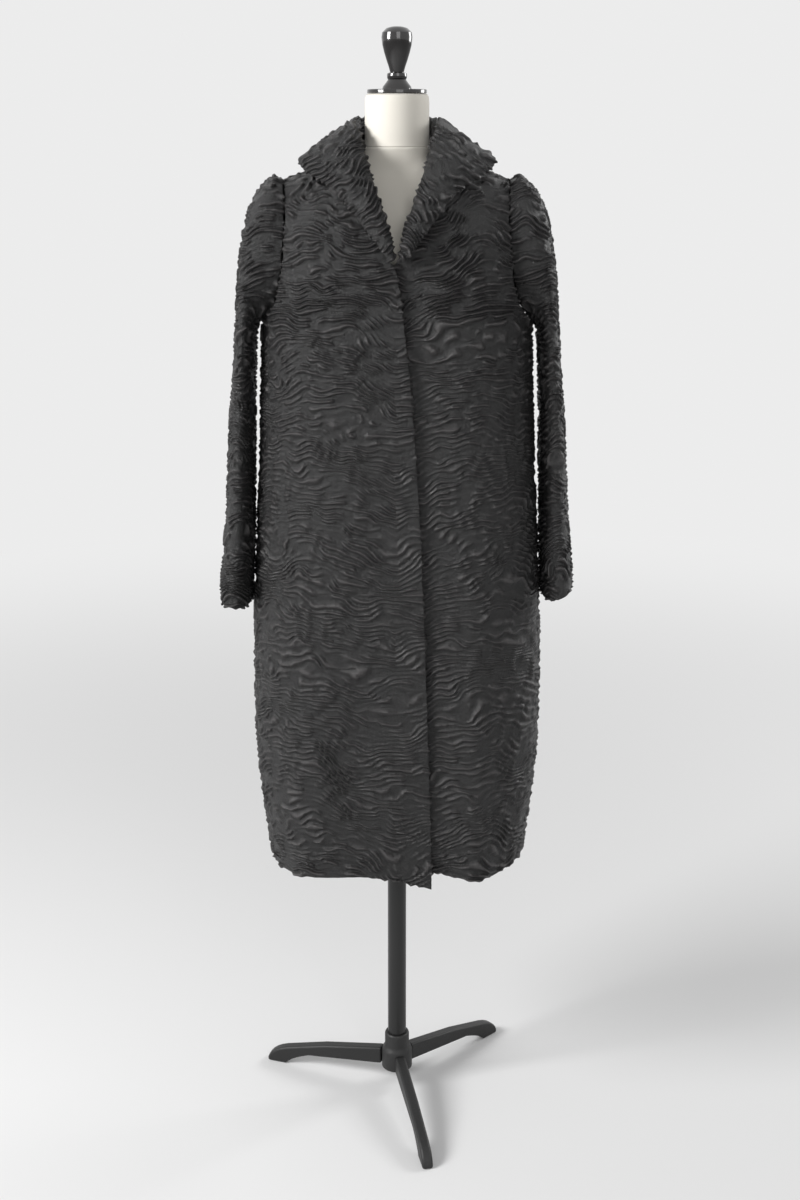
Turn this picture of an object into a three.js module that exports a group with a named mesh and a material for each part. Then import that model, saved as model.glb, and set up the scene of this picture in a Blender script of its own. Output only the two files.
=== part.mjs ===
// A knee-length lamb-fur coat with a winged collar, worn by a limbless tailor's dress form
// on a turned pole and a cast-iron tripod. Millimetres, +Z up, the front faces -Y and the
// coat's left side is +X. The origin is on the floor, in the middle of the outer box.

import * as THREE from 'three';

// ---------------------------------------------------------------- driving dimensions
const CLOTH_WALL = 5;             // pelt with its pile
const COLLAR_WALL = 6;
const SEAM_GAP = 0.4;             // between two sewn pieces
const LAP_GAP = 2.2;              // between the two fronts where they lap
const BODY_ROUNDNESS = 3;         // superellipse exponent of the coat's plan
const BREAK_HEIGHT = 1384;        // where the lapels start to turn
const HEM_HEIGHT = 435;
const UNDERARM_HEIGHT = 1285;
const NECK_POINT = { x: 60, z: 1540 };
const SHOULDER_POINT = { x: 168, z: 1497 };
const ROLL_START = 1370;          // above this the chest rolls back to the shoulder seam
const UNDERLAP_X = -14;           // inner edge of the front that lies beneath
const LAP_BLEND = { near: 34, far: 64 };
const LAPEL_EDGE = { start: 19, end: 65 };   // how far out the fronts stop beneath the lapels
const BACK_NECK = { drop: 30, from: 36, to: 68 };

// Plan of the coat at a height: half width, depth in front of and behind the pole.
const BODY_RINGS = [
  { z: 405, half: 197, front: 133, back: 120 },
  { z: 490, half: 208, front: 135, back: 122 },
  { z: 560, half: 218, front: 136, back: 124 },
  { z: 640, half: 224, front: 136, back: 125 },
  { z: 800, half: 224, front: 134, back: 124 },
  { z: 950, half: 217, front: 131, back: 120 },
  { z: 1100, half: 210, front: 128, back: 114 },
  { z: 1285, half: 204, front: 130, back: 116 },
  { z: 1400, half: 204, front: 124, back: 114 },
  { z: 1550, half: 204, front: 118, back: 110 },
];

// The armhole edge: how far out it lies at a height.
const ARMHOLE = [
  { z: 1285, x: 204 },
  { z: 1292, x: 198 },
  { z: 1306, x: 186 },
  { z: 1330, x: 175 },
  { z: 1370, x: 168 },
  { z: 1440, x: 163 },
  { z: 1470, x: 164 },
  { z: 1497, x: 168 },
];

// The closing edge of the right front, which lies on top.
const FRONT_EDGE = [
  { z: 405, x: 51 },
  { z: 440, x: 56 },
  { z: 520, x: 53 },
  { z: 630, x: 49 },
  { z: 800, x: 43 },
  { z: 1000, x: 35 },
  { z: 1180, x: 23 },
  { z: 1300, x: 10 },
  { z: 1384, x: -2 },
];

// The hem's height across each piece.
const HEM_RIGHT = [
  { x: -230, z: 438 }, { x: -172, z: 431 }, { x: -103, z: 432 },
  { x: -18, z: 438 }, { x: 28, z: 426 }, { x: 56, z: 412 },
];
const HEM_LEFT = [
  { x: -14, z: 446 }, { x: 61, z: 442 }, { x: 89, z: 433 },
  { x: 146, z: 427 }, { x: 189, z: 438 }, { x: 230, z: 446 },
];
const HEM_BACK = [
  { x: -230, z: 438 }, { x: -110, z: 430 }, { x: 0, z: 434 }, { x: 110, z: 430 }, { x: 230, z: 446 },
];

// Long soft folds: where a fold runs, its half breadth, how far it stands out at the hem,
// and the height at which it dies away. The face is -1 for the front and +1 for the back.
const FOLDS = [
  { face: -1, x: -150, breadth: 34, depth: 6, top: 1000 },
  { face: -1, x: -66, breadth: 26, depth: -4, top: 900 },
  { face: -1, x: 66, breadth: 16, depth: -9, top: 1150 },
  { face: -1, x: 114, breadth: 30, depth: 10, top: 1150 },
  { face: -1, x: 172, breadth: 18, depth: -7, top: 1000 },
  { face: 1, x: -120, breadth: 36, depth: 9, top: 1050 },
  { face: 1, x: -40, breadth: 28, depth: -7, top: 900 },
  { face: 1, x: 48, breadth: 34, depth: 8, top: 1000 },
  { face: 1, x: 130, breadth: 30, depth: -8, top: 900 },
];

// Sleeve sections, from the crown to the cuff: the outer and inner ends of each slanted
// section, its half depth and where its middle lies from front to back.
const SLEEVE_SECTIONS = [
  { outX: 182, outZ: 1505, inX: 209, inZ: 1281, half: 88, midY: -4 },
  { outX: 200, outZ: 1494, inX: 212, inZ: 1277, half: 86, midY: -5 },
  { outX: 218, outZ: 1466, inX: 214, inZ: 1272, half: 84, midY: -6 },
  { outX: 229, outZ: 1424, inX: 215, inZ: 1264, half: 81, midY: -7 },
  { outX: 237, outZ: 1365, inX: 216, inZ: 1250, half: 78, midY: -8 },
  { outX: 241, outZ: 1300, inX: 217, inZ: 1226, half: 76, midY: -9 },
  { outX: 246, outZ: 1225, inX: 218, inZ: 1184, half: 74, midY: -10 },
  { outX: 253, outZ: 1150, inX: 219, inZ: 1130, half: 73, midY: -11 },
  { outX: 258, outZ: 1070, inX: 220, inZ: 1060, half: 72, midY: -12 },
  { outX: 261, outZ: 1000, inX: 221, inZ: 994, half: 72, midY: -13 },
  { outX: 267, outZ: 940, inX: 222, inZ: 936, half: 73, midY: -14 },
  { outX: 272, outZ: 890, inX: 223, inZ: 886, half: 75, midY: -15 },
];
const CUFFS = {
  right: { outX: 274, outZ: 858, inX: 224, inZ: 852, half: 76, midY: -15 },
  left: { outX: 270, outZ: 876, inX: 223, inZ: 862, half: 76, midY: -15 },
};
const SLEEVE_ROUNDNESS = 2.5;

// Collar stations from the break of the lapel to the centre of the back. Each gives the
// foot inside the fold, the fold itself, the middle of the fall and its outer edge.
const COLLAR_STATIONS = [
  { foot: [5, -118, 1392], fold: [2, -136, 1388], mid: [7, -140, 1386], edge: [11, -140, 1383] },
  { foot: [13, -106, 1428], fold: [9, -130, 1426], mid: [19, -138, 1420], edge: [30, -136, 1412] },
  { foot: [24, -94, 1460], fold: [19, -118, 1458], mid: [36, -129, 1450], edge: [54, -124, 1440] },
  { foot: [36, -80, 1490], fold: [30, -102, 1487], mid: [52, -116, 1478], edge: [74, -108, 1468] },
  { foot: [45, -64, 1517], fold: [39, -84, 1515], mid: [68, -101, 1504], edge: [98, -88, 1492] },
  { foot: [52, -46, 1543], fold: [47, -60, 1546], mid: [86, -80, 1530], edge: [133, -64, 1509] },
  { foot: [56, -26, 1549], fold: [54, -32, 1573], mid: [96, -46, 1556], edge: [150, -42, 1530] },
  { foot: [58, 2, 1550], fold: [60, 0, 1585], mid: [94, -4, 1568], edge: [128, -6, 1538] },
  { foot: [50, 28, 1550], fold: [56, 34, 1588], mid: [86, 42, 1568], edge: [112, 54, 1533] },
  { foot: [28, 46, 1548], fold: [34, 56, 1588], mid: [54, 76, 1566], edge: [72, 96, 1522] },
  { foot: [0.3, 49.2, 1546], fold: [0.3, 64, 1586], mid: [0.3, 88, 1562], edge: [0.3, 112, 1508] },
];

// Dress form rings: height, half width, front and back depth.
const TORSO_RINGS = [
  { z: 760, half: 150, front: 92, back: 96 },
  { z: 850, half: 166, front: 104, back: 108 },
  { z: 960, half: 146, front: 96, back: 92 },
  { z: 1080, half: 118, front: 84, back: 76 },
  { z: 1180, half: 132, front: 96, back: 84 },
  { z: 1290, half: 148, front: 108, back: 94 },
  { z: 1380, half: 152, front: 98, back: 96 },
  { z: 1450, half: 148, front: 74, back: 84 },
  { z: 1486, half: 132, front: 50, back: 56 },
  { z: 1503, half: 114, front: 38, back: 43 },
  { z: 1518, half: 78, front: 38, back: 42 },
  { z: 1532, half: 54, front: 44, back: 46 },
  { z: 1546, half: 49, front: 49, back: 49 },
];
const TORSO_ROUNDNESS = 2.3;
const NECK_RADIUS = 48;
const NECK_TOP = 1622.6;
const CAP = { radius: 44.5, bottom: 1622.9, top: 1629 };
const POLE = { radius: 15, bottom: 40 };
const HUB = { radius: 20, boss: 25, bottom: 34, top: 95, crown: 3 };
const LEGS = { reach: 230, width: 17, azimuths: { front: 12, right: -108, left: 132 } };
const ROUND_SIDES = 24;
const SIT_GAP = 0.3;

// ---------------------------------------------------------------- finishes
const finish = (color, roughness, metalness) => ({ color, roughness, metalness });
const FUR = finish(0x17161a, 0.5, 0);
const LINEN = finish(0xded8cc, 0.9, 0);
const LACQUER = finish(0x0c0b0b, 0.15, 0);
const BLACK_STEEL = finish(0x121212, 0.35, 0.4);
const CAST_IRON = finish(0x161616, 0.55, 0.4);

// ---------------------------------------------------------------- small tools
const lerp = THREE.MathUtils.lerp;
const smoothstep = THREE.MathUtils.smoothstep;

/** Value of one column of a table at a key, straight between rows and held past its ends. */
function lookUp(table, key, at, column) {
  if (at <= table[0][key]) return table[0][column];
  for (let row = 1; row < table.length; row += 1) {
    const below = table[row - 1];
    const above = table[row];
    if (at <= above[key]) {
      return lerp(below[column], above[column], (at - below[key]) / (above[key] - below[key]));
    }
  }
  return table[table.length - 1][column];
}

/** Indexed geometry of a closed wall between two grids of points, outer and inner. */
function wallBetween(outer, inner, closedAcross) {
  const rows = outer.length;
  const columns = outer[0].length;
  const points = [...outer.flat(), ...inner.flat()];
  const outside = (row, column) => row * columns + (column % columns);
  const inside = (row, column) => rows * columns + outside(row, column);
  const faces = [];
  const quad = (a, b, c, d) => faces.push(a, b, c, a, c, d);
  const spans = closedAcross ? columns : columns - 1;
  for (let row = 0; row < rows - 1; row += 1) {
    for (let column = 0; column < spans; column += 1) {
      const right = column + 1;
      const up = row + 1;
      quad(outside(row, column), outside(row, right), outside(up, right), outside(up, column));
      quad(inside(row, column), inside(up, column), inside(up, right), inside(row, right));
    }
  }
  for (let column = 0; column < spans; column += 1) {
    const right = column + 1;
    const top = rows - 1;
    quad(outside(0, column), inside(0, column), inside(0, right), outside(0, right));
    quad(outside(top, column), outside(top, right), inside(top, right), inside(top, column));
  }
  if (!closedAcross) {
    const last = columns - 1;
    for (let row = 0; row < rows - 1; row += 1) {
      const up = row + 1;
      quad(outside(row, 0), outside(up, 0), inside(up, 0), inside(row, 0));
      quad(outside(row, last), inside(row, last), inside(up, last), outside(up, last));
    }
  }
  const geometry = new THREE.BufferGeometry();
  geometry.setAttribute('position', new THREE.Float32BufferAttribute(points.flat(), 3));
  geometry.setIndex(faces);
  return facingOut(geometry);
}

/** Turns every face over if the geometry's signed volume is negative. */
function facingOut(geometry) {
  const index = Array.from(geometry.index.array);
  const position = geometry.attributes.position;
  const corner = [new THREE.Vector3(), new THREE.Vector3(), new THREE.Vector3()];
  let volume = 0;
  for (let at = 0; at < index.length; at += 3) {
    corner.forEach((point, k) => point.fromBufferAttribute(position, index[at + k]));
    volume += corner[0].dot(corner[1].cross(corner[2]));
  }
  if (volume < 0) {
    for (let at = 0; at < index.length; at += 3) {
      [index[at], index[at + 1]] = [index[at + 1], index[at]];
    }
    geometry.setIndex(index);
  }
  geometry.computeVertexNormals();
  return geometry;
}

/** Closed loft through rings of equal length, with a fan over each end. */
function loft(rings) {
  const columns = rings[0].length;
  const points = rings.flat();
  const faces = [];
  for (let row = 0; row < rings.length - 1; row += 1) {
    for (let column = 0; column < columns; column += 1) {
      const right = (column + 1) % columns;
      const [a, b] = [row * columns + column, row * columns + right];
      faces.push(a, b, b + columns, a, b + columns, a + columns);
    }
  }
  const last = (rings.length - 1) * columns;
  for (let column = 1; column < columns - 1; column += 1) {
    faces.push(0, column + 1, column);
    faces.push(last, last + column, last + column + 1);
  }
  const geometry = new THREE.BufferGeometry();
  geometry.setAttribute('position', new THREE.Float32BufferAttribute(points.flat(), 3));
  geometry.setIndex(faces);
  return facingOut(geometry);
}

function meshOf(name, geometry, look) {
  const mesh = new THREE.Mesh(geometry, new THREE.MeshStandardMaterial(look));
  mesh.name = name;
  return mesh;
}

const signedPower = (value, power) => Math.sign(value) * Math.abs(value) ** power;

// ---------------------------------------------------------------- the coat's body
/** Height of the shoulder seam at a distance out from the middle. */
function shoulderSeam(x) {
  const out = (Math.abs(x) - NECK_POINT.x) / (SHOULDER_POINT.x - NECK_POINT.x);
  return lerp(NECK_POINT.z, SHOULDER_POINT.z, THREE.MathUtils.clamp(out, 0, 1));
}

/** Height of the shoulder seam where a line of cloth that ends at this turn meets it. */
function seamHeight(turn) {
  const half = lookUp(BODY_RINGS, 'z', SHOULDER_POINT.z, 'half');
  return shoulderSeam(half * signedPower(Math.sin(turn), 2 / BODY_ROUNDNESS));
}

/** How far the long folds push the cloth out at a place on one face. */
function foldDepth(face, x, z) {
  return FOLDS.filter((fold) => fold.face === face).reduce((sum, fold) => {
    const across = Math.exp(-(((x - fold.x) / fold.breadth) ** 2));
    const down = 1 - smoothstep(z, BODY_RINGS[0].z, fold.top);
    return sum + fold.depth * across * down;
  }, 0);
}

/**
 * A point of the coat's body. The face is -1 in front and +1 behind, the turn is the angle
 * from the middle of that face (a quarter turn is the side seam) and the inset is how far
 * the point lies inside the outer surface.
 */
function bodyPoint(face, turn, z, inset) {
  const half = lookUp(BODY_RINGS, 'z', z, 'half') - inset;
  const depth = lookUp(BODY_RINGS, 'z', z, face < 0 ? 'front' : 'back') - inset;
  const x = half * signedPower(Math.sin(turn), 2 / BODY_ROUNDNESS);
  const plan = depth * signedPower(Math.max(Math.cos(turn), 0), 2 / BODY_ROUNDNESS);
  const rise = (z - ROLL_START) / (shoulderSeam(x) - ROLL_START);
  const roll = rise > 0 ? Math.sqrt(Math.max(1 - Math.min(rise, 1) ** 2.4, 0)) : 1;
  const pushed = plan > 0 ? foldDepth(face, x, z) * Math.min(plan / depth, 1) : 0;
  const lowered = inset * (1 - roll);
  return [x, face * (Math.max(plan * roll, 0) + pushed + SEAM_GAP / 2), z - lowered];
}

/** The turn at which the body lies a given distance out at a height. */
function turnAt(x, z) {
  const half = lookUp(BODY_RINGS, 'z', z, 'half');
  return Math.asin(THREE.MathUtils.clamp(signedPower(x / half, BODY_ROUNDNESS / 2), -1, 1));
}

/** The turn of the piece's outer edge: the side seam, or the armhole above it. */
function sideTurn(z) {
  return z <= UNDERARM_HEIGHT ? Math.PI / 2 : turnAt(lookUp(ARMHOLE, 'z', z, 'x'), z);
}

const BODY_ROWS = [
  0, 0.03, 0.1, 0.18, 0.27, 0.36, 0.45, 0.54, 0.63, 0.71, 0.775, 0.801,
  0.812, 0.83, 0.85, 0.88, 0.91, 0.94, 0.965, 0.983, 0.994, 1,
];

/** Wall of one front. The side is -1 for the coat's right and +1 for its left. */
function frontPanel(side, columns) {
  const hem = side < 0 ? HEM_RIGHT : HEM_LEFT;
  const layer = (inset) => BODY_ROWS.map((up) => {
    const row = [];
    for (let column = 0; column <= columns; column += 1) {
      const out = column / columns;
      const topTurn = lerp(frontInnerTurn(side, NECK_POINT.z), side * sideTurn(SHOULDER_POINT.z), out);
      const top = seamHeight(topTurn);
      const plainZ = lerp(HEM_HEIGHT, top, up);
      const inner = frontInnerTurn(side, plainZ);
      const turn = lerp(inner, side * sideTurn(lerp(HEM_HEIGHT, SHOULDER_POINT.z, up)), out);
      const [x] = bodyPoint(-1, turn, plainZ, 0);
      const hemRise = lookUp(hem, 'x', x, 'z') - HEM_HEIGHT;
      const z = plainZ + hemRise * (1 - smoothstep(up, 0, 0.2));
      row.push(bodyPoint(-1, turn, z, inset + lapInset(side, x, z)));
    }
    return row;
  });
  return wallBetween(layer(0), layer(CLOTH_WALL), false);
}

/** The turn of a front's inner edge, which follows the lapel's fold above the break. */
function frontInnerTurn(side, z) {
  if (z > BREAK_HEIGHT) {
    const up = (z - BREAK_HEIGHT) / (NECK_POINT.z - BREAK_HEIGHT);
    return turnAt(side * lerp(LAPEL_EDGE.start, LAPEL_EDGE.end, up), z);
  }
  return turnAt(side < 0 ? lookUp(FRONT_EDGE, 'z', z, 'x') : UNDERLAP_X, z);
}

/** How far the lower front lies beneath the upper one. */
function lapInset(side, x, z) {
  if (side < 0) return 0;
  const edge = lookUp(FRONT_EDGE, 'z', z, 'x');
  const near = 1 - smoothstep(x, edge + LAP_BLEND.near, edge + LAP_BLEND.far);
  const down = 1 - smoothstep(z, BREAK_HEIGHT, BREAK_HEIGHT + 60);
  return (CLOTH_WALL + LAP_GAP) * near * down;
}

function backPanel(columns) {
  const layer = (inset) => BODY_ROWS.map((up) => {
    const row = [];
    for (let column = 0; column <= columns; column += 1) {
      const across = 2 * (column / columns) - 1;
      const topTurn = across * sideTurn(SHOULDER_POINT.z);
      const outTop = Math.abs(bodyPoint(1, topTurn, SHOULDER_POINT.z, 0)[0]);
      const drop = BACK_NECK.drop * (1 - smoothstep(outTop, BACK_NECK.from, BACK_NECK.to));
      const plainZ = lerp(HEM_HEIGHT, seamHeight(topTurn) - drop, up);
      const turn = across * sideTurn(lerp(HEM_HEIGHT, SHOULDER_POINT.z, up));
      const [x] = bodyPoint(1, turn, plainZ, 0);
      const hemRise = lookUp(HEM_BACK, 'x', x, 'z') - HEM_HEIGHT;
      row.push(bodyPoint(1, turn, plainZ + hemRise * (1 - smoothstep(up, 0, 0.2)), inset));
    }
    return row;
  });
  return wallBetween(layer(0), layer(CLOTH_WALL), false);
}

// ---------------------------------------------------------------- sleeves
/** One ring of a sleeve: a superellipse across a slanted section. */
function sleeveRing(section, side, inset, sides) {
  const middle = [(section.outX + section.inX) / 2, (section.outZ + section.inZ) / 2];
  const reach = [(section.outX - section.inX) / 2, (section.outZ - section.inZ) / 2];
  const length = Math.hypot(...reach);
  const ring = [];
  for (let k = 0; k < sides; k += 1) {
    const angle = (2 * Math.PI * k) / sides;
    const along = signedPower(Math.cos(angle), 2 / SLEEVE_ROUNDNESS) * (1 - inset / length);
    const over = signedPower(Math.sin(angle), 2 / SLEEVE_ROUNDNESS) * (section.half - inset);
    ring.push([side * (middle[0] + reach[0] * along), section.midY - over, middle[1] + reach[1] * along]);
  }
  return ring;
}

/** The ring that is sewn to the armhole, just outside the body's own edge. */
function armholeRing(side, inset, sides) {
  const top = SHOULDER_POINT.z - inset;
  const bottom = UNDERARM_HEIGHT + inset;
  const ring = [];
  for (let k = 0; k < sides; k += 1) {
    const angle = (2 * Math.PI * k) / sides;
    const z = lerp(bottom, top, (1 + Math.cos(angle)) / 2);
    const face = Math.sin(angle) < 0 ? 1 : -1;
    const depth = Math.abs(Math.sin(angle)) ** (2 / SLEEVE_ROUNDNESS) * (86 - inset);
    const x = lookUp(ARMHOLE, 'z', z, 'x') + 1.2;
    ring.push([side * x, face * depth - 3, z]);
  }
  return ring;
}

function sleeve(side, cuff, sides) {
  const sections = [...SLEEVE_SECTIONS, cuff];
  const layer = (inset) => [
    armholeRing(side, inset, sides),
    ...sections.map((section) => sleeveRing(section, side, inset, sides)),
  ];
  return wallBetween(layer(0), layer(CLOTH_WALL), true);
}

// ---------------------------------------------------------------- collar
/** Half of the collar and its lapel, a folded sheet through the stations. */
function collarHalf(side) {
  const across = 9;
  const along = 15;
  const lines = ['foot', 'fold', 'mid', 'edge'].map((key) => new THREE.CatmullRomCurve3(
    COLLAR_STATIONS.map(({ [key]: [x, y, z] }) => new THREE.Vector3(side * x, y, z)),
  ));
  const grid = [];
  for (let row = 0; row <= along; row += 1) {
    const station = lines.map((line) => line.getPoint(row / along));
    grid.push(new THREE.CatmullRomCurve3(station).getPoints(across - 1));
  }
  const under = grid.map((row, at) => row.map((point, column) => {
    const before = grid[Math.max(at - 1, 0)][column];
    const after = grid[Math.min(at + 1, along)][column];
    const left = row[Math.max(column - 1, 0)];
    const right = row[Math.min(column + 1, across - 1)];
    const normal = new THREE.Vector3().subVectors(after, before)
      .cross(new THREE.Vector3().subVectors(right, left)).normalize();
    const moved = point.clone().addScaledVector(normal, side * COLLAR_WALL);
    if (at === along) moved.x = point.x;
    return moved.toArray();
  }));
  return wallBetween(grid.map((row) => row.map((point) => point.toArray())), under, false);
}

// ---------------------------------------------------------------- the dress form
function torso() {
  const sides = 28;
  return loft(TORSO_RINGS.map((ring) => {
    const points = [];
    for (let k = 0; k < sides; k += 1) {
      const angle = (2 * Math.PI * k) / sides;
      const depth = Math.sin(angle) < 0 ? ring.front : ring.back;
      points.push([
        ring.half * signedPower(Math.cos(angle), 2 / TORSO_ROUNDNESS),
        depth * signedPower(Math.sin(angle), 2 / TORSO_ROUNDNESS),
        ring.z,
      ]);
    }
    return points;
  }));
}

/** Solid of revolution about the pole from [radius, height] pairs. */
function turned(profile, sides = ROUND_SIDES) {
  const points = profile.map(([radius, height]) => new THREE.Vector2(radius, height));
  return new THREE.LatheGeometry(points, sides).rotateX(Math.PI / 2);
}

const neckProfile = [
  [0, 1546.3], [49, 1546.3], [NECK_RADIUS, 1556], [NECK_RADIUS, 1612], [45, NECK_TOP], [0, NECK_TOP],
];
const capProfile = [
  [0, CAP.bottom], [CAP.radius - 1, CAP.bottom], [CAP.radius, CAP.bottom + 1],
  [CAP.radius, CAP.top - 1], [CAP.radius - 1, CAP.top], [0, CAP.top],
];
const finialProfile = [
  [0, CAP.top + SIT_GAP], [22, CAP.top + SIT_GAP], [21, 1633], [17, 1638], [13.5, 1643], [14.6, 1645.5],
  [15, 1648.5], [14.4, 1652], [10.3, 1654], [12.5, 1662], [15.6, 1671], [19, 1682], [21.8, 1693],
  [23, 1704], [22, 1711], [16, 1717], [8, 1719.5], [0, 1720],
];
const poleProfile = [
  [0, POLE.bottom], [POLE.radius, POLE.bottom], [POLE.radius, TORSO_RINGS[0].z - SIT_GAP],
  [0, TORSO_RINGS[0].z - SIT_GAP],
];
const hubInner = POLE.radius + SIT_GAP;
const hubProfile = [
  [hubInner, HUB.bottom], [HUB.boss, HUB.bottom], [HUB.boss, 64], [HUB.radius + 1, 70],
  [HUB.radius, 74], [HUB.radius, HUB.top - HUB.crown], [HUB.radius - 2, HUB.top],
  [hubInner, HUB.top], [hubInner, HUB.bottom],
];

/** One tripod leg: a ridged bar from the hub out to a flat foot. */
function leg(azimuth) {
  const start = HUB.boss + SIT_GAP;
  const outline = new THREE.Shape();
  outline.moveTo(start, 34);
  outline.lineTo(start, 63);
  outline.lineTo(LEGS.reach * 0.55, 47);
  outline.lineTo(LEGS.reach * 0.86, 30);
  outline.quadraticCurveTo(LEGS.reach - 4, 22, LEGS.reach, 6);
  outline.lineTo(LEGS.reach, 0);
  outline.lineTo(LEGS.reach - 32, 0);
  outline.quadraticCurveTo(LEGS.reach - 42, 12, LEGS.reach * 0.68, 22);
  const bar = new THREE.ExtrudeGeometry(outline, { depth: LEGS.width, bevelEnabled: false, curveSegments: 5 });
  bar.translate(0, 0, -LEGS.width / 2);
  bar.rotateX(Math.PI / 2);
  bar.rotateZ(THREE.MathUtils.degToRad(azimuth - 90));
  return bar;
}

// ---------------------------------------------------------------- assembly
const coat = new THREE.Group();
coat.add(meshOf('front_right', frontPanel(-1, 12), FUR));
coat.add(meshOf('front_left', frontPanel(1, 11), FUR));
coat.add(meshOf('back', backPanel(16), FUR));
coat.add(meshOf('sleeve_right', sleeve(-1, CUFFS.right, 20), FUR));
coat.add(meshOf('sleeve_left', sleeve(1, CUFFS.left, 20), FUR));
coat.add(meshOf('collar_right', collarHalf(-1), FUR));
coat.add(meshOf('collar_left', collarHalf(1), FUR));

const stand = new THREE.Group();
stand.add(meshOf('torso', torso(), LINEN));
stand.add(meshOf('neck', turned(neckProfile, 32), LINEN));
stand.add(meshOf('neck_cap', turned(capProfile, 32), LACQUER));
stand.add(meshOf('finial', turned(finialProfile), LACQUER));
stand.add(meshOf('pole', turned(poleProfile), BLACK_STEEL));
stand.add(meshOf('hub', turned(hubProfile), CAST_IRON));
for (const [name, azimuth] of Object.entries(LEGS.azimuths)) {
  stand.add(meshOf(`leg_${name}`, leg(azimuth), CAST_IRON));
}

const dressedForm = new THREE.Group();
dressedForm.add(coat, stand);
const box = new THREE.Box3().setFromObject(dressedForm);
const middle = box.getCenter(new THREE.Vector3());
dressedForm.position.set(-middle.x, -middle.y, -box.min.z);

export default dressedForm;
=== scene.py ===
"""A curly lamb-fur coat on a limbless dress form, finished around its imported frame."""

import logging
import math
from dataclasses import dataclass, field
from enum import Enum

import bmesh
import bpy
import numpy as np
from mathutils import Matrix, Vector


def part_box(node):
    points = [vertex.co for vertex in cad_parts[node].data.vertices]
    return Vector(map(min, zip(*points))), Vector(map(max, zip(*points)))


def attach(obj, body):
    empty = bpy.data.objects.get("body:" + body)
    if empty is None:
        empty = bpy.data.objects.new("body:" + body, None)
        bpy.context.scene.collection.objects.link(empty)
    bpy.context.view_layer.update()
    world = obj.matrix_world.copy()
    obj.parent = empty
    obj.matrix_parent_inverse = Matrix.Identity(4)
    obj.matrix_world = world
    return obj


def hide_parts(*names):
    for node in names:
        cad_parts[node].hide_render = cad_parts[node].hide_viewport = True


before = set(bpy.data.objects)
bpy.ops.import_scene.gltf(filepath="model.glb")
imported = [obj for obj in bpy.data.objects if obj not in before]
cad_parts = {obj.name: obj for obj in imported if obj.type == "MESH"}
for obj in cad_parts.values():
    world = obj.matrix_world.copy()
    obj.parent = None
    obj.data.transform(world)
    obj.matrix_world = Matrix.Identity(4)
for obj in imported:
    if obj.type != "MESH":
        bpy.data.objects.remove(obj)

LOG = logging.getLogger("coat")
MERGE = 1e-5                    # points nearer than this are one point
TALL_FACE = 0.032               # a longer upright edge is halved before a piece is rounded
RIM_ANGLE = math.radians(50)    # a sharper edge is the rim of a wall
RIM_CREASE = 0.8                # how firmly a rim keeps its corner when the piece is rounded
SHARP_ANGLE = math.radians(35)  # a sharper edge of a hard piece isn't shaded smooth
TURNED_SIDES = 96
LATTICE_SIDE = 64               # noise repeats after this many cells
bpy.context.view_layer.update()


class Grain(Enum):
    """Which way the curls of a piece mostly run."""

    ARCHED = "arched"
    ACROSS_LAPEL = "across the lapel"
    SWIRLED = "swirled"


# ------------------------------------------------------------------ noise and meshes
def lattice_noise(points: np.ndarray, cell: float, seed: int) -> np.ndarray:
    """Smooth value noise: random numbers on a cubic lattice, blended by smoothed distances.

    Args:
        points: Places, one row each, in metres.
        cell: Edge of a lattice cell in metres.
        seed: Start of the lattice's random numbers.

    Returns:
        One value from -1 to 1 for each place.
    """
    lattice = np.random.default_rng(seed).uniform(-1, 1, (LATTICE_SIDE,) * 3)
    scaled = points / cell
    corner = np.floor(scaled).astype(int)
    part = scaled - corner
    blend = part * part * (3 - 2 * part)
    total = np.zeros(len(points))
    for dx in (0, 1):
        for dy in (0, 1):
            for dz in (0, 1):
                at = (corner + (dx, dy, dz)) % LATTICE_SIDE
                weight = np.abs(1 - dx - blend[:, 0]) * np.abs(1 - dy - blend[:, 1])
                total += lattice[at[:, 0], at[:, 1], at[:, 2]] * weight * np.abs(1 - dz - blend[:, 2])
    return total


def smooth_copy(node: str, name: str, levels: int) -> bpy.types.Object:
    """Copies a frame node and rounds it with a subdivision surface.

    The copy's points are merged, its triangles are paired into four-sided faces, tall faces
    are halved, and the rims of its walls are creased, so that they keep their place.

    Args:
        node: The frame node to copy.
        name: The new piece's name.
        levels: How many times each face is divided.

    Returns:
        The new piece with the subdivision applied.
    """
    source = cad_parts[node]
    mesh = source.data.copy()
    work = bmesh.new()
    work.from_mesh(mesh)
    bmesh.ops.remove_doubles(work, verts=work.verts, dist=MERGE)
    bmesh.ops.join_triangles(
        work, faces=work.faces, angle_face_threshold=math.pi, angle_shape_threshold=math.pi,
    )
    tall = [edge for edge in work.edges if abs(edge.verts[0].co.z - edge.verts[1].co.z) > TALL_FACE]
    bmesh.ops.subdivide_edges(work, edges=tall, cuts=1, use_grid_fill=True)
    crease = work.edges.layers.float.new("crease_edge")
    for edge in work.edges:
        if len(edge.link_faces) == 2 and edge.calc_face_angle(0) > RIM_ANGLE:
            edge[crease] = RIM_CREASE
    work.to_mesh(mesh)
    work.free()
    mesh.name = name
    piece = bpy.data.objects.new(name, mesh)
    bpy.context.collection.objects.link(piece)
    rounding = piece.modifiers.new("rounding", "SUBSURF")
    rounding.levels = levels
    rounding.render_levels = levels
    graph = bpy.context.evaluated_depsgraph_get()
    finished = bpy.data.meshes.new_from_object(piece.evaluated_get(graph))
    piece.modifiers.clear()
    piece.data = finished
    finished.materials.clear()
    finished.polygons.foreach_set("use_smooth", np.ones(len(finished.polygons), bool))
    return piece


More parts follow.
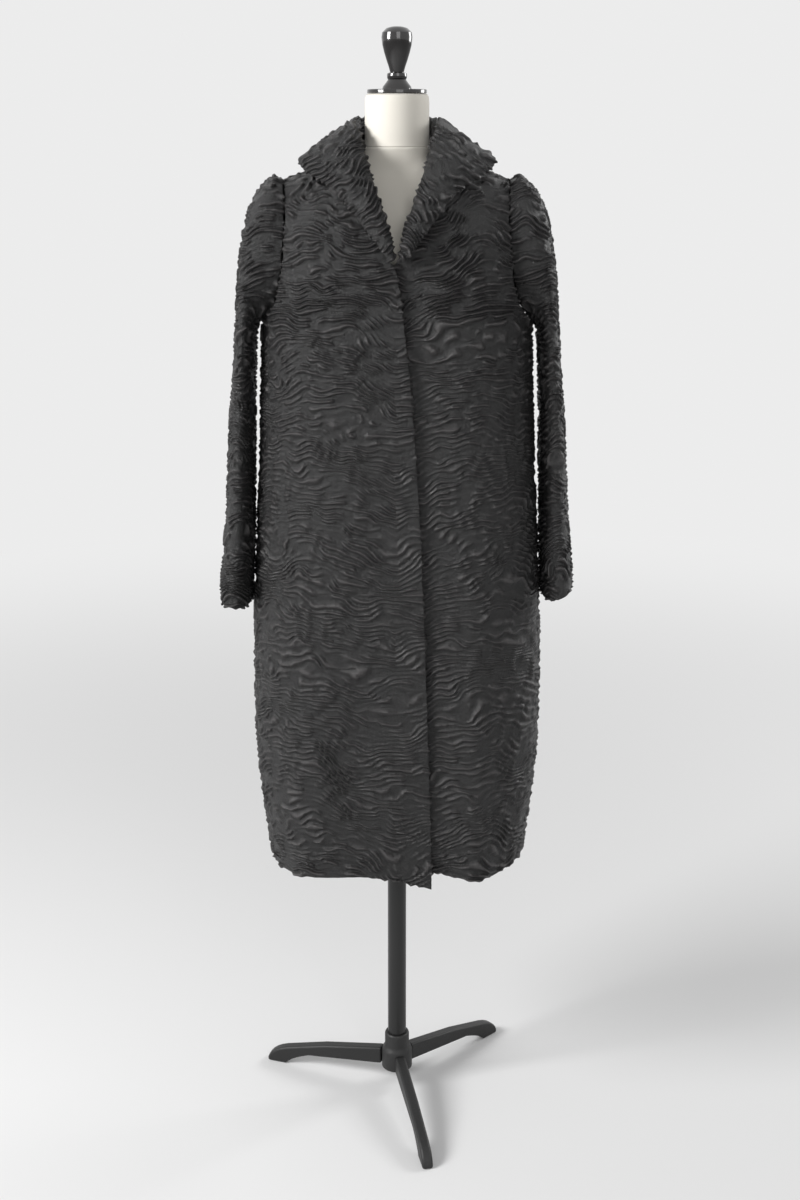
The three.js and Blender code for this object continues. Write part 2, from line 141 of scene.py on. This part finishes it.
def turned(name: str, profile: list[tuple[float, float]], axis: tuple[float, float]) -> bpy.types.Object:
    """Makes a solid of revolution: each profile point swept round the upright axis.

    Args:
        name: The piece's name.
        profile: Radius and height pairs in metres, from the axis back to the axis.
        axis: Where the axis stands in the plan.

    Returns:
        The new piece.
    """
    sides = TURNED_SIDES
    radius, height = np.array(profile).T
    angle = np.linspace(0, 2 * np.pi, sides, endpoint=False)
    points = np.stack([
        axis[0] + np.outer(radius, np.cos(angle)),
        axis[1] + np.outer(radius, np.sin(angle)),
        np.outer(height, np.ones(sides)),
    ], axis=-1).reshape(-1, 3)
    row, column = np.meshgrid(np.arange(len(profile) - 1), np.arange(sides), indexing="ij")
    nearby = (column + 1) % sides
    faces = np.stack([
        row * sides + column, row * sides + nearby,
        (row + 1) * sides + nearby, (row + 1) * sides + column,
    ], axis=-1).reshape(-1, 4)
    mesh = bpy.data.meshes.new(name)
    mesh.from_pydata(points.tolist(), [], faces.tolist())
    work = bmesh.new()
    work.from_mesh(mesh)
    bmesh.ops.remove_doubles(work, verts=work.verts, dist=MERGE / 10)
    bmesh.ops.recalc_face_normals(work, faces=work.faces)
    work.to_mesh(mesh)
    work.free()
    mesh.polygons.foreach_set("use_smooth", np.ones(len(mesh.polygons), bool))
    mesh.set_sharp_from_angle(angle=SHARP_ANGLE)
    piece = bpy.data.objects.new(name, mesh)
    bpy.context.collection.objects.link(piece)
    return piece


# ------------------------------------------------------------------ finishes
@dataclass(frozen=True)
class Finish:
    """A plain finish: a colour that drifts a little, and a fine grain in relief.

    The relief is noise on the piece's own coordinates, drawn out by the stretch.
    """

    name: str
    color: tuple[float, float, float]
    roughness: float
    metallic: float = 0.0
    coat: float = 0.0
    sheen: float = 0.0
    grain_scale: float = 400.0
    grain_depth: float = 0.0002
    stretch: tuple[float, float, float] = (1.0, 1.0, 1.0)
    drift: float = 0.12
    cloud_scale: float = 14.0
    relief: float = 0.8

    def material(self) -> bpy.types.Material:
        """Builds the node material.

        Returns:
            The material, which reads the piece's own coordinates.
        """
        made = bpy.data.materials.new(self.name)
        made.use_nodes = True
        nodes, links = made.node_tree.nodes, made.node_tree.links
        shader = nodes["Principled BSDF"]
        shader.inputs["Roughness"].default_value = self.roughness
        shader.inputs["Metallic"].default_value = self.metallic
        shader.inputs["Coat Weight"].default_value = self.coat
        shader.inputs["Sheen Weight"].default_value = self.sheen
        place = nodes.new("ShaderNodeTexCoord")
        mapping = nodes.new("ShaderNodeMapping")
        mapping.inputs["Scale"].default_value = self.stretch
        links.new(place.outputs["Object"], mapping.inputs["Vector"])
        cloud = nodes.new("ShaderNodeTexNoise")
        cloud.inputs["Scale"].default_value = self.cloud_scale
        links.new(place.outputs["Object"], cloud.inputs["Vector"])
        tint = nodes.new("ShaderNodeMix")
        tint.data_type = "RGBA"
        darker = tuple(channel * (1 - self.drift) for channel in self.color)
        lighter = tuple(min(channel * (1 + self.drift), 1) for channel in self.color)
        tint.inputs[6].default_value = (*darker, 1)
        tint.inputs[7].default_value = (*lighter, 1)
        links.new(cloud.outputs["Fac"], tint.inputs[0])
        links.new(tint.outputs[2], shader.inputs["Base Color"])
        grain = nodes.new("ShaderNodeTexNoise")
        grain.inputs["Scale"].default_value = self.grain_scale
        grain.inputs["Detail"].default_value = 3.0
        links.new(mapping.outputs["Vector"], grain.inputs["Vector"])
        relief = nodes.new("ShaderNodeBump")
        relief.inputs["Distance"].default_value = self.grain_depth
        relief.inputs["Strength"].default_value = self.relief
        links.new(grain.outputs["Fac"], relief.inputs["Height"])
        links.new(relief.outputs["Normal"], shader.inputs["Normal"])
        return made


@dataclass(frozen=True)
class CurlFinish:
    """Black curled lamb fur, glossy, with painted shade in near-black between the curls and a painted
    highlight in charcoal on them.

    The curl is half of one plus the sine of the phase, raised to a power and times the
    strength. It sets both the relief and the colour, from painted shade in the valleys to a painted
    highlight on the crests, and fine noise gives the hair and breaks up the painted highlight.
    """

    # painted shade: near-black in the valleys between the curls; painted highlight: charcoal on the
    # crests
    painted_valley_shade: tuple[float, float, float] = (0.0012, 0.0011, 0.0012)
    painted_crest_highlight: tuple[float, float, float] = (0.050, 0.047, 0.047)
    roughness: float = 0.42
    sheen: float = 0.03
    sheen_roughness: float = 0.4
    curl_sharpness: float = 1.5
    curl_relief: float = 0.0036
    hair_scale: float = 420.0
    hair_relief: float = 0.0022
    # lifts the hair noise that scales the painted crest highlight
    hair_highlight_lift: float = 0.45

    def material(self) -> bpy.types.Material:
        """Builds the node material from the piece's own phase and strength attributes.

        Returns:
            The material.
        """
        made = bpy.data.materials.new("curled_fur")
        made.use_nodes = True
        nodes, links = made.node_tree.nodes, made.node_tree.links
        shader = nodes["Principled BSDF"]
        shader.inputs["Roughness"].default_value = self.roughness
        shader.inputs["Sheen Weight"].default_value = self.sheen
        shader.inputs["Sheen Roughness"].default_value = self.sheen_roughness

        def attribute(name: str) -> bpy.types.NodeSocket:
            """Reads one number that the mesh holds at each point."""
            node = nodes.new("ShaderNodeAttribute")
            node.attribute_name = name
            return node.outputs["Fac"]

        def math_node(
            kind: str, first: bpy.types.NodeSocket, second: bpy.types.NodeSocket | float = 0.0,
        ) -> bpy.types.NodeSocket:
            """Joins a socket with a socket or a number by one sum."""
            node = nodes.new("ShaderNodeMath")
            node.operation = kind
            for socket, value in zip(node.inputs, (first, second)):
                if isinstance(value, float):
                    socket.default_value = value
                else:
                    links.new(value, socket)
            return node.outputs[0]

        wave = math_node("SINE", attribute("curl_phase"))
        lifted = math_node("MULTIPLY_ADD", wave, 0.5)
        lifted.node.inputs[2].default_value = 0.5
        shaped = math_node("POWER", lifted, self.curl_sharpness)
        curl = math_node("MULTIPLY", shaped, attribute("curl_strength"))
        place = nodes.new("ShaderNodeTexCoord")
        hair = nodes.new("ShaderNodeTexNoise")
        hair.inputs["Scale"].default_value = self.hair_scale
        hair.inputs["Detail"].default_value = 4.0
        hair.inputs["Distortion"].default_value = 1.2
        links.new(place.outputs["Object"], hair.inputs["Vector"])
        shade = math_node("MULTIPLY", curl, math_node("ADD", hair.outputs["Fac"], self.hair_highlight_lift))
        # the base colour runs from the painted valley shade to the painted crest highlight with the curl
        # and the hair
        tint = nodes.new("ShaderNodeMix")
        tint.data_type = "RGBA"
        tint.inputs[6].default_value = (*self.painted_valley_shade, 1)
        tint.inputs[7].default_value = (*self.painted_crest_highlight, 1)
        links.new(shade, tint.inputs[0])
        links.new(tint.outputs[2], shader.inputs["Base Color"])
        fine = nodes.new("ShaderNodeBump")
        fine.inputs["Distance"].default_value = self.hair_relief
        links.new(hair.outputs["Fac"], fine.inputs["Height"])
        coarse = nodes.new("ShaderNodeBump")
        coarse.inputs["Distance"].default_value = self.curl_relief
        links.new(curl, coarse.inputs["Height"])
        links.new(fine.outputs["Normal"], coarse.inputs["Normal"])
        links.new(coarse.outputs["Normal"], shader.inputs["Normal"])
        return made


LINEN = Finish(
    "linen", (0.78, 0.745, 0.67), 0.9, sheen=0.2, grain_scale=900, stretch=(1, 1, 2.5), drift=0.05,
)
LACQUER = Finish("lacquer", (0.012, 0.011, 0.011), 0.14, coat=0.6, grain_scale=60, grain_depth=0.0001)
BLACK_STEEL = Finish("black_steel", (0.018, 0.018, 0.018), 0.32, metallic=0.3, stretch=(1, 1, 0.1))
CAST_IRON = Finish(
    "cast_iron", (0.022, 0.022, 0.022), 0.5, metallic=0.3, grain_scale=260, grain_depth=0.0006,
)


# ------------------------------------------------------------------ the coat
@dataclass
class Panel:
    """One cut piece of the coat.

    Its curls are ridges where the sine of a phase is high. The phase grows with the height
    over arches that fall away from the middle of each pelt, and two sizes of noise bend it,
    so that the ridges wander, curl and end.
    """

    node: str
    flat: tuple[float, float]
    area: float
    grain: Grain
    levels: int = 3
    curl_width: float = 0.0092
    curl_height: float = 0.0040
    pelt_middle: float = 0.14
    arch: float = 0.28
    arch_crown: float = 0.03
    lapel_slant: tuple[float, float] = (0.8, 0.75)
    sleeve_lean: float = 0.5
    curl_sharpness: float = 1.5
    curl_floor: float = 0.25
    break_cell: float = 0.0085
    break_stretch: tuple[float, float, float] = (0.5, 1, 1)
    bend: tuple[float, float] = (0.026, 0.0085)
    bend_cell: tuple[float, float] = (0.062, 0.021)
    seed: int = 7

    def run(self, points: np.ndarray) -> np.ndarray:
        """Works out the distance across the curls.

        On the fronts and back it is the height plus a share of the distance from the pelt's
        middle, rounded at the middle. On the collar the way is slanted, and on the sleeves
        it leans from front to back. Two sizes of noise are added to it.

        Args:
            points: Places, one row each, in metres.

        Returns:
            The distance in metres at each place.
        """
        across, _, height = points.T
        if self.grain is Grain.ARCHED:
            beside = np.abs(across) - self.pelt_middle
            plain = height + self.arch * np.sqrt(beside ** 2 + self.arch_crown ** 2)
        elif self.grain is Grain.ACROSS_LAPEL:
            plain = self.lapel_slant[0] * height + self.lapel_slant[1] * np.abs(across)
        else:
            plain = height + self.sleeve_lean * points[:, 1]
        wide = lattice_noise(points, self.bend_cell[0], self.seed)
        small = lattice_noise(points, self.bend_cell[1], self.seed + 1)
        return plain + self.bend[0] * wide + self.bend[1] * small

    def build(self, fur: bpy.types.Material) -> bpy.types.Object:
        """Makes the curled piece and hangs it in the frame.

        Args:
            fur: The material of the whole coat.

        Returns:
            The finished piece.
        """
        piece = smooth_copy(self.node, f"{self.node}_fur", self.levels)
        mesh = piece.data
        count = len(mesh.vertices)
        points = np.empty(count * 3)
        normals = np.empty(count * 3)
        mesh.vertices.foreach_get("co", points)
        mesh.vertex_normals.foreach_get("vector", normals)
        points, normals = points.reshape(-1, 3), normals.reshape(-1, 3)
        phase = 2 * np.pi * self.run(points) / self.curl_width
        broken = lattice_noise(points * self.break_stretch, self.break_cell, self.seed + 2)
        strength = 0.08 + 1.0 * np.clip(broken * 2.2 + 0.6, 0, 1)
        curl = (0.5 + 0.5 * np.sin(phase)) ** self.curl_sharpness * strength
        moved = points + normals * (self.curl_height * (curl - self.curl_floor))[:, None]
        mesh.vertices.foreach_set("co", moved.ravel())
        for name, values in (("curl_phase", phase), ("curl_strength", strength)):
            layer = mesh.attributes.new(name, "FLOAT", "POINT")
            layer.data.foreach_set("value", values.astype(np.float32))
        mesh.update()
        mesh.materials.append(fur)
        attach(piece, "root")
        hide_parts(self.node)
        LOG.info("%s: %d faces", piece.name, len(mesh.polygons))
        return piece


@dataclass
class Coat:
    """The whole coat: its cut pieces in the order they are sewn."""

    panels: list[Panel] = field(default_factory=lambda: [
        Panel("front_right", (0.36, 1.11), 0.33, Grain.ARCHED, seed=11),
        Panel("front_left", (0.34, 1.11), 0.31, Grain.ARCHED, seed=21),
        Panel("back", (0.60, 1.10), 0.57, Grain.ARCHED, seed=31),
        Panel("sleeve_right", (0.38, 0.64), 0.2, Grain.SWIRLED, seed=41),
        Panel("sleeve_left", (0.38, 0.64), 0.2, Grain.SWIRLED, seed=51),
        Panel("collar_right", (0.13, 0.42), 0.035, Grain.ACROSS_LAPEL, seed=61),
        Panel("collar_left", (0.13, 0.42), 0.035, Grain.ACROSS_LAPEL, seed=71),
    ])

    def build(self) -> None:
        """Makes every piece in one fur."""
        fur = CurlFinish().material()
        for panel in self.panels:
            panel.build(fur)


# ------------------------------------------------------------------ the dress form
@dataclass
class DressForm:
    """The padded form with its turned finial, pole and tripod."""

    neck_radius: float = 0.048
    cap_radius: float = 0.0445
    pole_radius: float = 0.015
    hub_bore: float = 0.0153
    finial_height: float = 0.0907
    leg_rounding: float = 0.0035

    def axis(self) -> tuple[float, float]:
        """Where the pole stands in the plan."""
        low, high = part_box("pole")
        return ((low.x + high.x) / 2, (low.y + high.y) / 2)

    def heights(self, node: str) -> tuple[float, float]:
        """Lowest and highest height of a frame node."""
        low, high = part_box(node)
        return low.z, high.z

    def finish_turned(
        self, node: str, profile: list[tuple[float, float]], look: Finish,
    ) -> None:
        """Replaces a faceted turned node by a fine one of the same outline.

        Args:
            node: The frame node.
            profile: Radius and height pairs in metres.
            look: The finish.
        """
        piece = turned(f"{node}_turned", profile, self.axis())
        piece.data.materials.append(look.material())
        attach(piece, "root")
        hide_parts(node)
        LOG.info("%s: %d faces", piece.name, len(piece.data.polygons))

    def turn_neck(self) -> None:
        """Makes the padded neck, a little wider at its seam and rounded at its top."""
        low, high = self.heights("neck")
        radius = self.neck_radius
        self.finish_turned("neck", [
            (0, low), (radius + 0.001, low), (radius + 0.0004, low + 0.004), (radius, low + 0.012),
            (radius, high - 0.014), (radius - 0.0006, high - 0.006), (radius - 0.002, high - 0.002),
            (radius - 0.005, high), (0, high),
        ], LINEN)

    def turn_cap(self) -> None:
        """Makes the thin disc on the neck, with its edges broken."""
        low, high = self.heights("neck_cap")
        radius, broken = self.cap_radius, 0.001
        self.finish_turned("neck_cap", [
            (0, low), (radius - broken, low), (radius, low + broken),
            (radius, high - broken), (radius - broken, high), (0, high),
        ], LACQUER)

    def turn_finial(self) -> None:
        """Makes the finial: a flared foot, a ring and a cone that widens to a rounded top."""
        base, _ = self.heights("finial")
        outline_mm = [
            (22, 0), (21, 3.7), (17, 8.7), (13.5, 13.7), (14.6, 16.2), (15, 19.2), (14.4, 22.7),
            (10.3, 24.7), (12.5, 32.7), (15.6, 41.7), (19, 52.7), (21.8, 63.7), (23, 74.7),
            (22, 81.7), (16, 87.7), (8, 90.2),
        ]
        outline = [(radius / 1000, base + height / 1000) for radius, height in outline_mm]
        profile = [(0, base), *outline, (0, base + self.finial_height)]
        self.finish_turned("finial", profile, LACQUER)

    def turn_pole(self) -> None:
        """Makes the plain round pole."""
        low, high = self.heights("pole")
        radius = self.pole_radius
        self.finish_turned(
            "pole", [(0, low), (radius, low), (radius, high), (0, high)], BLACK_STEEL,
        )

    def turn_hub(self) -> None:
        """Makes the hub: a boss for the legs and a narrower collar round the pole."""
        low, high = self.heights("hub")
        bore = self.hub_bore
        self.finish_turned("hub", [
            (bore, low), (0.025, low), (0.025, 0.062), (0.0235, 0.067), (0.021, 0.070), (0.020, 0.074),
            (0.020, high - 0.003), (0.0192, high - 0.001), (0.018, high), (bore, high), (bore, low),
        ], CAST_IRON)

    def build(self) -> None:
        """Makes the turned pieces, the padded torso and the legs."""
        self.turn_neck()
        self.turn_cap()
        self.turn_finial()
        self.turn_pole()
        self.turn_hub()
        padding = smooth_copy("torso", "torso_cover", 2)
        padding.data.materials.append(LINEN.material())
        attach(padding, "root")
        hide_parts("torso")
        for side in ("front", "right", "left"):
            self.cast_leg(f"leg_{side}")

    def cast_leg(self, node: str) -> None:
        """Rounds the edges of a leg as a casting's are."""
        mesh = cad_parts[node].data.copy()
        work = bmesh.new()
        work.from_mesh(mesh)
        bmesh.ops.remove_doubles(work, verts=work.verts, dist=MERGE)
        bmesh.ops.dissolve_limit(work, angle_limit=math.radians(2), verts=work.verts, edges=work.edges)
        work.to_mesh(mesh)
        work.free()
        piece = bpy.data.objects.new(f"{node}_cast", mesh)
        bpy.context.collection.objects.link(piece)
        rounding = piece.modifiers.new("rounding", "BEVEL")
        rounding.width = self.leg_rounding
        rounding.segments = 3
        rounding.limit_method = "ANGLE"
        mesh.materials.clear()
        mesh.materials.append(CAST_IRON.material())
        mesh.polygons.foreach_set("use_smooth", np.ones(len(mesh.polygons), bool))
        mesh.set_sharp_from_angle(angle=SHARP_ANGLE)
        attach(piece, "root")
        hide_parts(node)


# ------------------------------------------------------------------ the studio
@dataclass
class Studio:
    """The camera, the lamps and the pale floor."""

    distance: float = 2.405
    eye_height: float = 1.593
    pitch: float = 10.9
    lens: float = 47.67
    room_light: float = 0.34
    room_seen: float = 0.84
    floor_reach: float = 30.0
    floor_fade: tuple[float, float] = (0.4, 3.6)

    def camera(self, axis: tuple[float, float]) -> None:
        """Sets the camera in front, at the height of the neck, looking a little down.

        Args:
            axis: Where the pole stands in the plan.
        """
        data = bpy.data.cameras.new("camera")
        data.lens = self.lens
        data.shift_y = -0.15
        data.shift_x = 0.0025
        view = bpy.data.objects.new("camera", data)
        view.location = (axis[0], axis[1] - self.distance, self.eye_height)
        view.rotation_euler = (math.radians(90 - self.pitch), 0, 0)
        bpy.context.collection.objects.link(view)
        bpy.context.scene.camera = view

    def lamp(self, name: str, place: tuple[float, float, float], size: float, power: float) -> None:
        """Adds a soft square lamp that faces the middle of the coat.

        Args:
            name: The lamp's name.
            place: Where it stands, in metres.
            size: Its edge in metres.
            power: Its power in watts.
        """
        data = bpy.data.lights.new(name, "AREA")
        data.size = size
        data.energy = power
        lamp = bpy.data.objects.new(name, data)
        lamp.location = place
        toward = np.array([0.0, 0.0, 1.0]) - np.array(place)
        yaw = math.atan2(toward[1], toward[0]) - math.pi / 2
        rise = math.atan2(toward[2], math.hypot(toward[0], toward[1]))
        lamp.rotation_euler = (math.pi / 2 + rise, 0, yaw)
        bpy.context.collection.objects.link(lamp)

    def room(self) -> None:
        """Fills the room with pale light: brighter where it is seen, softer where it only lights."""
        world = bpy.data.worlds.new("room")
        world.use_nodes = True
        nodes, links = world.node_tree.nodes, world.node_tree.links
        light = nodes["Background"]
        light.inputs["Color"].default_value = (1.0, 1.0, 1.0, 1)
        path = nodes.new("ShaderNodeLightPath")
        seen = nodes.new("ShaderNodeMath")
        seen.operation = "MAXIMUM"
        links.new(path.outputs["Is Camera Ray"], seen.inputs[0])
        links.new(path.outputs["Is Glossy Ray"], seen.inputs[1])
        strength = nodes.new("ShaderNodeMapRange")
        strength.inputs["To Min"].default_value = self.room_light
        strength.inputs["To Max"].default_value = self.room_seen
        links.new(seen.outputs[0], strength.inputs["Value"])
        links.new(strength.outputs["Result"], light.inputs["Strength"])
        bpy.context.scene.world = world

    def fade_far_floor(self, pale: bpy.types.Material) -> None:
        """Brings the floor to the room's own paleness with the distance from the object."""
        nodes, links = pale.node_tree.nodes, pale.node_tree.links
        place = nodes.new("ShaderNodeTexCoord")
        away = nodes.new("ShaderNodeVectorMath")
        away.operation = "LENGTH"
        links.new(place.outputs["Object"], away.inputs[0])
        fade = nodes.new("ShaderNodeMapRange")
        fade.interpolation_type = "SMOOTHSTEP"
        fade.inputs["From Min"].default_value = self.floor_fade[0]
        fade.inputs["From Max"].default_value = self.floor_fade[1]
        links.new(away.outputs["Value"], fade.inputs["Value"])
        path = nodes.new("ShaderNodeLightPath")
        seen = nodes.new("ShaderNodeMath")
        seen.operation = "MULTIPLY"
        links.new(path.outputs["Is Camera Ray"], seen.inputs[0])
        links.new(fade.outputs["Result"], seen.inputs[1])
        glow = nodes.new("ShaderNodeEmission")
        glow.inputs["Strength"].default_value = self.room_seen
        mixed = nodes.new("ShaderNodeMixShader")
        links.new(seen.outputs[0], mixed.inputs[0])
        links.new(nodes["Principled BSDF"].outputs[0], mixed.inputs[1])
        links.new(glow.outputs[0], mixed.inputs[2])
        links.new(mixed.outputs[0], nodes["Material Output"].inputs["Surface"])

    def build(self) -> None:
        """Lays the floor and lights the room."""
        floor = bpy.data.meshes.new("floor")
        reach = self.floor_reach
        corners = [(-reach, -reach, 0), (reach, -reach, 0), (reach, reach, 0), (-reach, reach, 0)]
        floor.from_pydata(corners, [], [(0, 1, 2, 3)])
        ground = bpy.data.objects.new("floor", floor)
        bpy.context.collection.objects.link(ground)
        pale = bpy.data.materials.new("pale_floor")
        pale.use_nodes = True
        shader = pale.node_tree.nodes["Principled BSDF"]
        shader.inputs["Base Color"].default_value = (0.80, 0.80, 0.80, 1)
        shader.inputs["Roughness"].default_value = 0.8
        self.fade_far_floor(pale)
        floor.materials.append(pale)
        self.room()
        self.lamp("key", (-2.6, -1.2, 2.2), 1.2, 105)
        self.lamp("front", (0.6, -3.2, 2.4), 1.6, 18)
        self.lamp("rim", (2.4, 1.2, 2.0), 1.0, 30)
        bpy.context.scene.view_settings.view_transform = "Standard"


def main() -> None:
    """Builds the studio, the form and the coat."""
    logging.basicConfig(level=logging.INFO)
    form = DressForm()
    studio = Studio()
    studio.camera(form.axis())
    studio.build()
    form.build()
    Coat().build()


if __name__ == "__main__":
    main()
